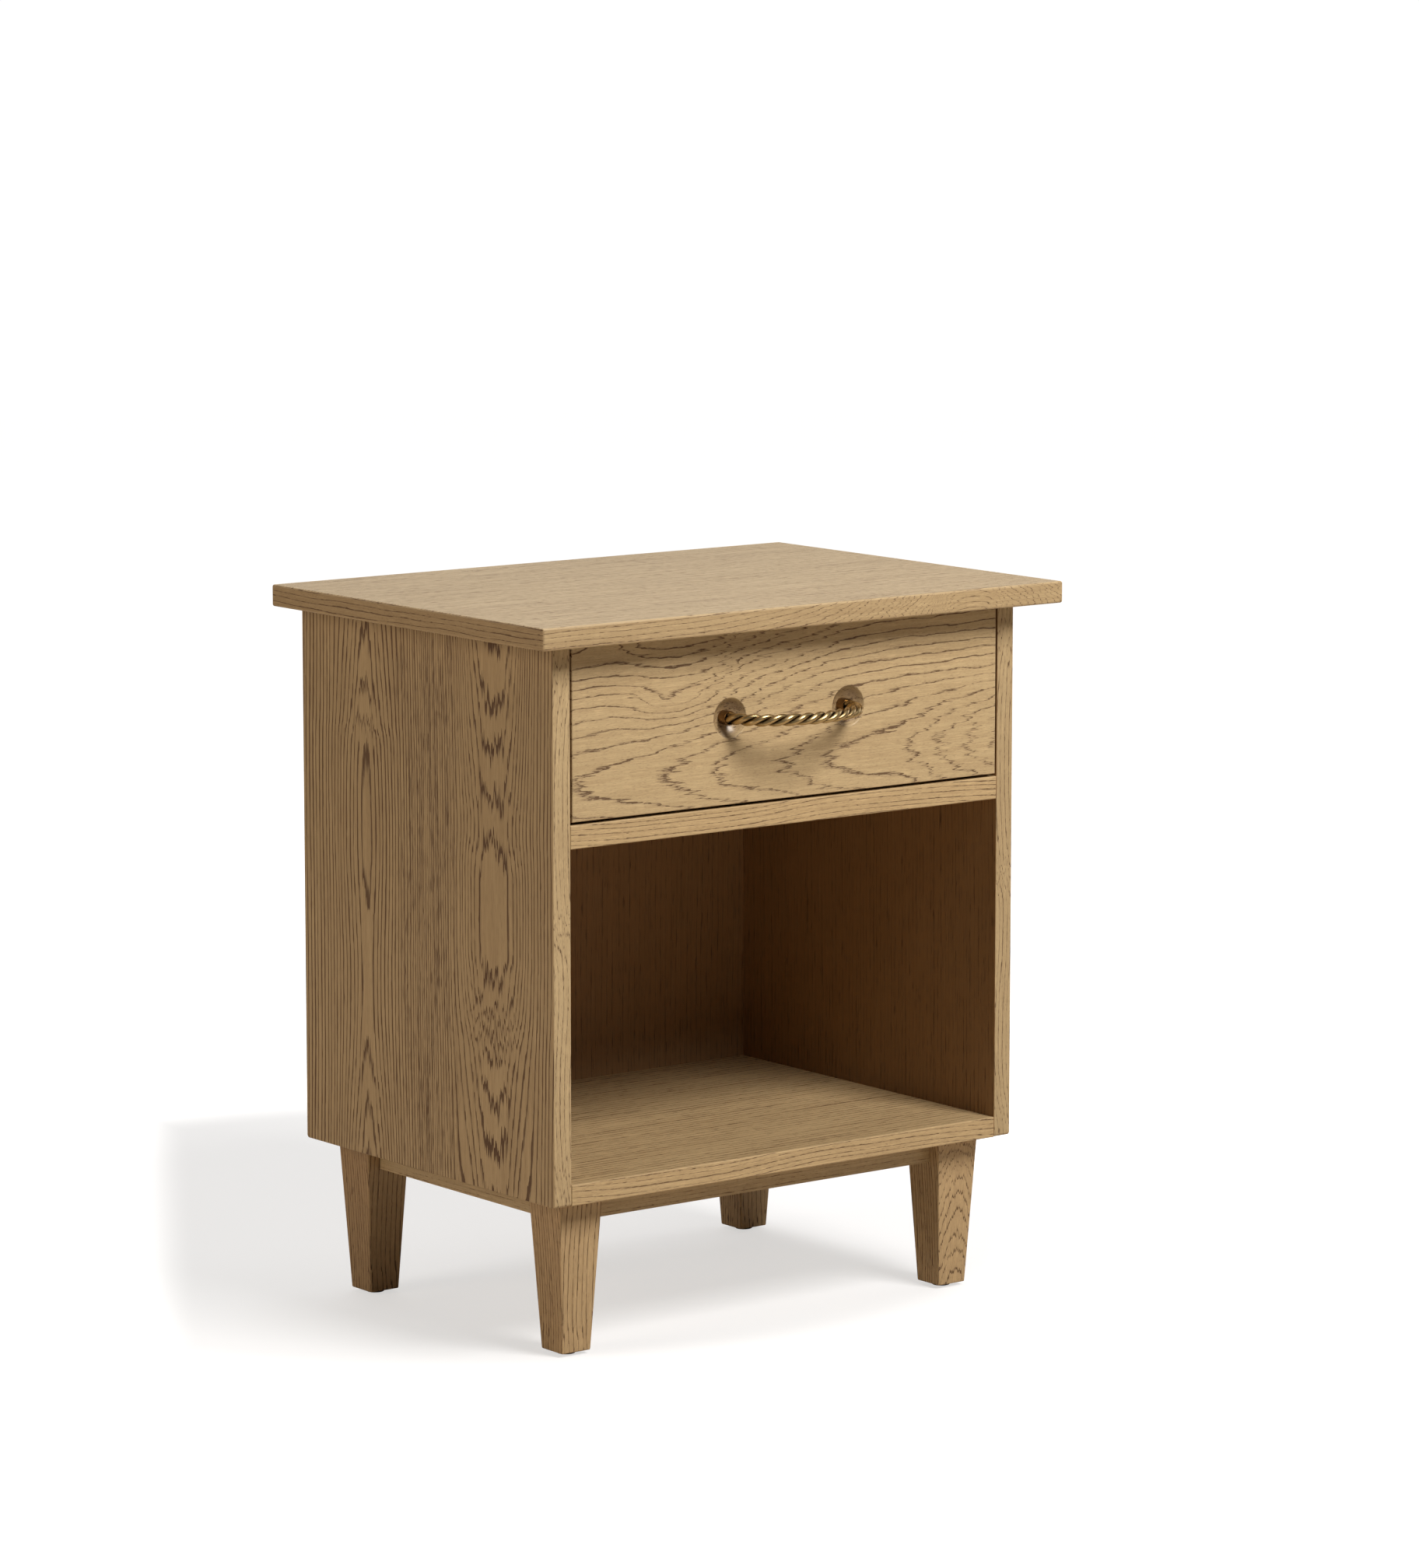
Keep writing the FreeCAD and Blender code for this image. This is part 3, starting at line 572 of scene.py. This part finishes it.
def board_cuts(long, wide, thick, **face):
    """Cuts of a plain board: its grain runs along one axis, and face is what differs on its broad faces."""
    edge = ((-280, 0), (-90, 1.6), (60, 0.4), (280, 2.2))
    return {
        long: plain_cut(wide, thick),
        # The faces across the board's width get a little painted shade.
        wide: plain_cut(thick, long, edge, 4.2, marks=even(0.8), speckle=even(0.45), shade=0.12),
        thick: plain_cut(wide, long, **face),
    }


# Painted shade on each leg's sides: most on the rear left leg and none on the front right one.
PAINTED_LEG_SHADE = {"front_left": 0.25, "front_right": 0.0, "rear_left": 0.5, "rear_right": 0.25}


def leg_cuts(middle, arched, shade):
    """A leg has straight grain, with arches on the front of one of them. shade is the painted shade that
    darkens its sides.
    """
    lines = ((0, 0), (60, 0.8), (140, 0.2))
    front = plain_cut("x", "z", lines, 5.0, marks=even(1.1), dash=14.0)
    if arched:
        arches = ((0, -5), (50, -2), (100, 1), (140, 5))
        heart = Heart(middle.x / MM + 3, 16, 1, arches)
        front = Cut("x", "z", (heart,), 4.2, teeth=7.0)
    side = plain_cut("y", "z", lines, 3.6, marks=even(1.2), speckle=even(0.8), dash=16.0, shade=shade)
    return {"x": side, "y": front, "z": plain_cut("y", "x")}


# ---- other materials -----------------------------------------------------------------------------
def plain_wood(name, light, dark, seed, along):
    """Pale close-grained wood for pieces that are out of sight. along is "x", "y" or "z"."""
    material, tree, shader = new_material(name)
    point, _ = object_place(tree)
    axes = dict(zip("xyz", point))
    length = axes.pop(along)
    first, second = axes.values()
    spread = first + second
    streaks = noise(spread / 2.2, length / 70, seed, 3.0, 0.6)
    figure = noise(spread / 16, length / 220, seed + 2.0, 2.0)
    tone = 0.5 + streaks * 0.35 + figure * 0.6
    wood = blend(tree, step(tone, 0.0, 1.0), light, dark)
    tree.links.new(wood.socket, shader.inputs["Base Color"])
    feed(tree, streaks * 0.05 + 0.5, shader.inputs["Roughness"])
    add_bump(tree, shader, streaks, 0.15, 0.0003)
    return material


BRASS_GROOVE = (0.035, 0.018, 0.007)
BRASS_CREST = (0.48, 0.34, 0.16)
BRASS_POST_RIM = (0.26, 0.16, 0.07)
ZINC_BRIGHT = (0.62, 0.63, 0.65)
ZINC_DULL = (0.55, 0.54, 0.50)


def brass(name, worn, polished):
    """Aged brass: brown in the hollows and polished on what stands out. worn says where that is, 0 to 1."""
    material, tree, shader = new_material(name)
    (x, y, z), _ = object_place(tree)
    spots = noise(x / 3, y / 3, z / 3, 3.0, 0.6)
    amount = step(worn(tree) + spots * 0.22, 0.30, 0.90)
    metal = blend(tree, amount, BRASS_GROOVE, polished)
    tree.links.new(metal.socket, shader.inputs["Base Color"])
    shader.inputs["Metallic"].default_value = 1.0
    feed(tree, 0.45 - amount * 0.16 + spots * 0.05, shader.inputs["Roughness"])
    add_bump(tree, shader, spots, 0.08, 0.0003)
    return material


def crest(tree):
    """1 along the outside of each strand and 0 in the grooves, as the handle's mesh holds it."""
    node = tree.nodes.new("ShaderNodeAttribute")
    node.attribute_name = "crest"
    return Field(tree, node.outputs["Fac"])


def rim(tree):
    """Brighter where a surface bends outwards, as at a rim."""
    node = tree.nodes.new("ShaderNodeNewGeometry")
    return step(Field(tree, node.outputs["Pointiness"]), 0.48, 0.58)


def steel(name, colour, roughness):
    """Zinc-plated steel with a faint mottle and drawn lines along Y."""
    material, tree, shader = new_material(name)
    (x, y, z), _ = object_place(tree)
    lines = noise((x + z) / 0.5, y / 40, 1.0, 2.0)
    mottle = noise(x / 9, y / 9, z / 9, 3.0)
    metal = blend(tree, step(mottle + lines * 0.3, -0.8, 0.8), shaded(colour, 0.8), colour)
    tree.links.new(metal.socket, shader.inputs["Base Color"])
    shader.inputs["Metallic"].default_value = 1.0
    feed(tree, lines * 0.06 + mottle * 0.04 + roughness, shader.inputs["Roughness"])
    add_bump(tree, shader, lines, 0.1, 0.0002)
    return material


def nylon(name):
    """Black nylon with a fine moulded grain."""
    material, tree, shader = new_material(name)
    (x, y, z), _ = object_place(tree)
    grain = noise(x / 0.4, y / 0.4, z / 0.4, 2.0)
    colour = blend(tree, step(grain, -1.0, 1.0), (0.012, 0.012, 0.012), (0.035, 0.034, 0.032))
    tree.links.new(colour.socket, shader.inputs["Base Color"])
    feed(tree, grain * 0.08 + 0.5, shader.inputs["Roughness"])
    add_bump(tree, shader, grain, 0.2, 0.0001)
    return material


# ---- rope handle ---------------------------------------------------------------------------------
END_ARC = 34 * MM
TWIST = 36 * MM
STRANDS = 3
# How many steps the stem, an end arc and half of the bow are made in, and a strand's corners around.
STEM_STEPS = 8
ARC_STEPS = 72
BOW_STEPS = 110
STRAND_SIDES = 20
# Three strands that touch each other just fill the handle's round outline.
STRAND_RADIUS = BAR_RADIUS / (1 + 2 / 3**0.5)
STRAND_OFFSET = BAR_RADIUS - STRAND_RADIUS


def handle_half():
    """Points from the handle's right end to its middle: a short stem, an end arc and half of the bow."""
    reach = HALF_SPACING - END_ARC
    rise = BAR_RISE - END_ARC
    behind = (reach**2 - rise**2) / (2 * rise)
    bow = behind + BAR_RISE
    turn = atan2(behind, reach)
    points = [Vector((HALF_SPACING, BAR_DEPTH * (1 - i / STEM_STEPS), 0)) for i in range(STEM_STEPS)]
    for i in range(ARC_STEPS):
        angle = turn * i / ARC_STEPS
        points.append(Vector((reach + END_ARC * cos(angle), -END_ARC * sin(angle), 0)))
    for i in range(BOW_STEPS + 1):
        angle = (pi / 2 - turn) * (1 - i / BOW_STEPS)
        points.append(Vector((bow * sin(angle), behind - bow * cos(angle), 0)))
    return points


def handle_line():
    """The middle of the handle from end to end, from left to right."""
    right = handle_half()
    left = [Vector((-point.x, point.y, 0)) for point in right[:-1]]
    middle = Vector((0, CASE_FRONT, HANDLE_Z))
    return [point + middle for point in left + right[::-1]]


def directions(points):
    """The direction of a line of points at each of them."""
    last = len(points) - 1
    return [(points[min(i + 1, last)] - points[max(i - 1, 0)]).normalized() for i in range(last + 1)]


def strand_middle(line, start):
    """The middle of one strand, which winds left-handed round the line from a start angle."""
    up = Vector((0, 0, 1))
    travelled = 0.0
    points = []
    for i, (point, ahead) in enumerate(zip(line, directions(line))):
        if i > 0:
            travelled += (point - line[i - 1]).length
        angle = start - 2 * pi * travelled / TWIST
        out = ahead.cross(up)
        points.append(point + (up * sin(angle) - out * cos(angle)) * STRAND_OFFSET)
    return points


def add_strand(line, start, corners, faces, crests):
    """A round strand's skin, closed at both ends. Adds its corners, faces and each corner's crest value."""
    first = len(corners)
    middles = strand_middle(line, start)
    for middle, point, ahead in zip(middles, line, directions(middles)):
        out = middle - point
        out = (out - ahead * out.dot(ahead)).normalized()
        side = ahead.cross(out)
        for j in range(STRAND_SIDES):
            angle = 2 * pi * j / STRAND_SIDES
            corners.append(middle + (out * cos(angle) + side * sin(angle)) * STRAND_RADIUS)
            crests.append(0.5 + 0.5 * cos(angle))
    end = first + (len(line) - 1) * STRAND_SIDES
    for ring in range(first, end, STRAND_SIDES):
        next_ring = ring + STRAND_SIDES
        for j in range(STRAND_SIDES):
            after = (j + 1) % STRAND_SIDES
            faces.append((ring + j, ring + after, next_ring + after, next_ring + j))
    faces.append(tuple(first + j for j in reversed(range(STRAND_SIDES))))
    faces.append(tuple(end + j for j in range(STRAND_SIDES)))


def make_handle():
    line = handle_line()
    corners, faces, crests = [], [], []
    for strand in range(STRANDS):
        add_strand(line, 2 * pi * strand / STRANDS, corners, faces, crests)
    mesh = bpy.data.meshes.new("rope_handle")
    mesh.from_pydata(corners, [], faces)
    heights = mesh.attributes.new("crest", "FLOAT", "POINT")
    heights.data.foreach_set("value", crests)
    mesh.shade_smooth()
    mesh.materials.append(brass("rope_brass", crest, BRASS_CREST))
    handle = bpy.data.objects.new("rope_handle", mesh)
    bpy.context.scene.collection.objects.link(handle)
    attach(handle, "drawer")
    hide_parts("handle_bar")


# ---- materials onto the pieces -------------------------------------------------------------------
def paint(material, *nodes):
    for node in nodes:
        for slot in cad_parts[node].material_slots:
            slot.material = material


# Where the bold heart of each side panel is, along Y.
BOLD_HEART_LEFT = -76
BOLD_HEART_RIGHT = -40
BOARD_LIGHT = (0.55, 0.400, 0.213)


def paint_oak():
    face_y = CASE_FRONT / MM
    paint(oak("oak_top", slab_cuts(), 1.0, shaded(PALE, 0.94)), "top_panel")
    paint(oak("oak_left_side", side_cuts("-x", "+x", BOLD_HEART_LEFT, False), 2.0), "left_side_panel")
    right_cuts = side_cuts("+x", "-x", BOLD_HEART_RIGHT, True)
    paint(oak("oak_right_side", right_cuts, 3.3, shaded(PALE, 0.92)), "right_side_panel")
    paint(oak("oak_drawer_front", drawer_cuts(), 4.0, dish=face_y), "drawer_front")
    # The boards' broad faces, the shelf among them, get a little painted shade.
    floor_face = {"ring": 7.0, "marks": even(0.7), "speckle": even(0.85), "dash": 12.0, "shade": 0.08}
    boards = oak("oak_boards", board_cuts("x", "y", "z", **floor_face), 5.0, BOARD_LIGHT)
    paint(boards, "drawer_divider", "bottom_panel")
    back_face = {"ring": 6.0, "marks": even(0.4), "speckle": even(0.8), "dash": 20.0}
    # Painted shade: the back panel is darker on its front, which is inside the case, and has some on its
    # back too.
    back_cuts = board_cuts("z", "x", "y", shade=0.4, **back_face)
    outside = back_cuts.pop("y")
    inside = plain_cut("x", "z", shade=1.0, **back_face)
    paint(oak("oak_back", {"-y": inside, "+y": outside, **back_cuts}, 6.0), "back_panel")
    paint(oak("oak_end_aprons", board_cuts("x", "z", "y"), 8.0), "front_apron", "rear_apron")
    paint(oak("oak_side_aprons", board_cuts("y", "z", "x"), 7.0), "left_apron", "right_apron")
    for number, corner in enumerate(CORNERS):
        low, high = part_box("leg_" + corner)
        cuts = leg_cuts((low + high) / 2, corner == "front_right", PAINTED_LEG_SHADE[corner])
        paint(oak("oak_leg_" + corner, cuts, 20.0 + number, LEG), "leg_" + corner)


FRAME_PALE, FRAME_TAN = (0.62, 0.47, 0.29), (0.48, 0.34, 0.19)
BOX_PALE, BOX_TAN = (0.68, 0.55, 0.37), (0.56, 0.43, 0.27)


def paint_hidden_wood():
    rails = ("top_front_rail", "top_rear_rail")
    blocks = ["corner_block_" + corner for corner in CORNERS]
    paint(plain_wood("hidden_wood", FRAME_PALE, FRAME_TAN, 1.0, "x"), *rails, *blocks)
    dowels = ("bottom_panel_dowels", "divider_dowels", "rail_dowels", "apron_dowels")
    paint(plain_wood("dowel_wood", FRAME_PALE, FRAME_TAN, 2.0, "x"), *dowels)
    boards = ("drawer_box_front", "drawer_box_back", "drawer_bottom")
    paint(plain_wood("drawer_box_x", BOX_PALE, BOX_TAN, 3.0, "x"), *boards)
    sides = ("drawer_left_side", "drawer_right_side")
    paint(plain_wood("drawer_box_y", BOX_PALE, BOX_TAN, 4.0, "y"), *sides)


def paint_metal_and_plastic():
    paint(brass("post_brass", rim, BRASS_POST_RIM), "handle_post_left", "handle_post_right")
    paint(nylon("nylon"), *["glide_" + corner for corner in CORNERS])
    slide_steel = steel("slide_steel", ZINC_BRIGHT, 0.3)
    screw_steel = steel("screw_steel", ZINC_DULL, 0.38)
    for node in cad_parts:
        if node.startswith("slide_"):
            paint(slide_steel, node)
        elif node.endswith(("_screws", "_washers", "_bolts", "_inserts", "_nails")):
            paint(screw_steel, node)


make_camera()
make_stage()
make_handle()
paint_oak()
paint_hidden_wood()
paint_metal_and_plastic()
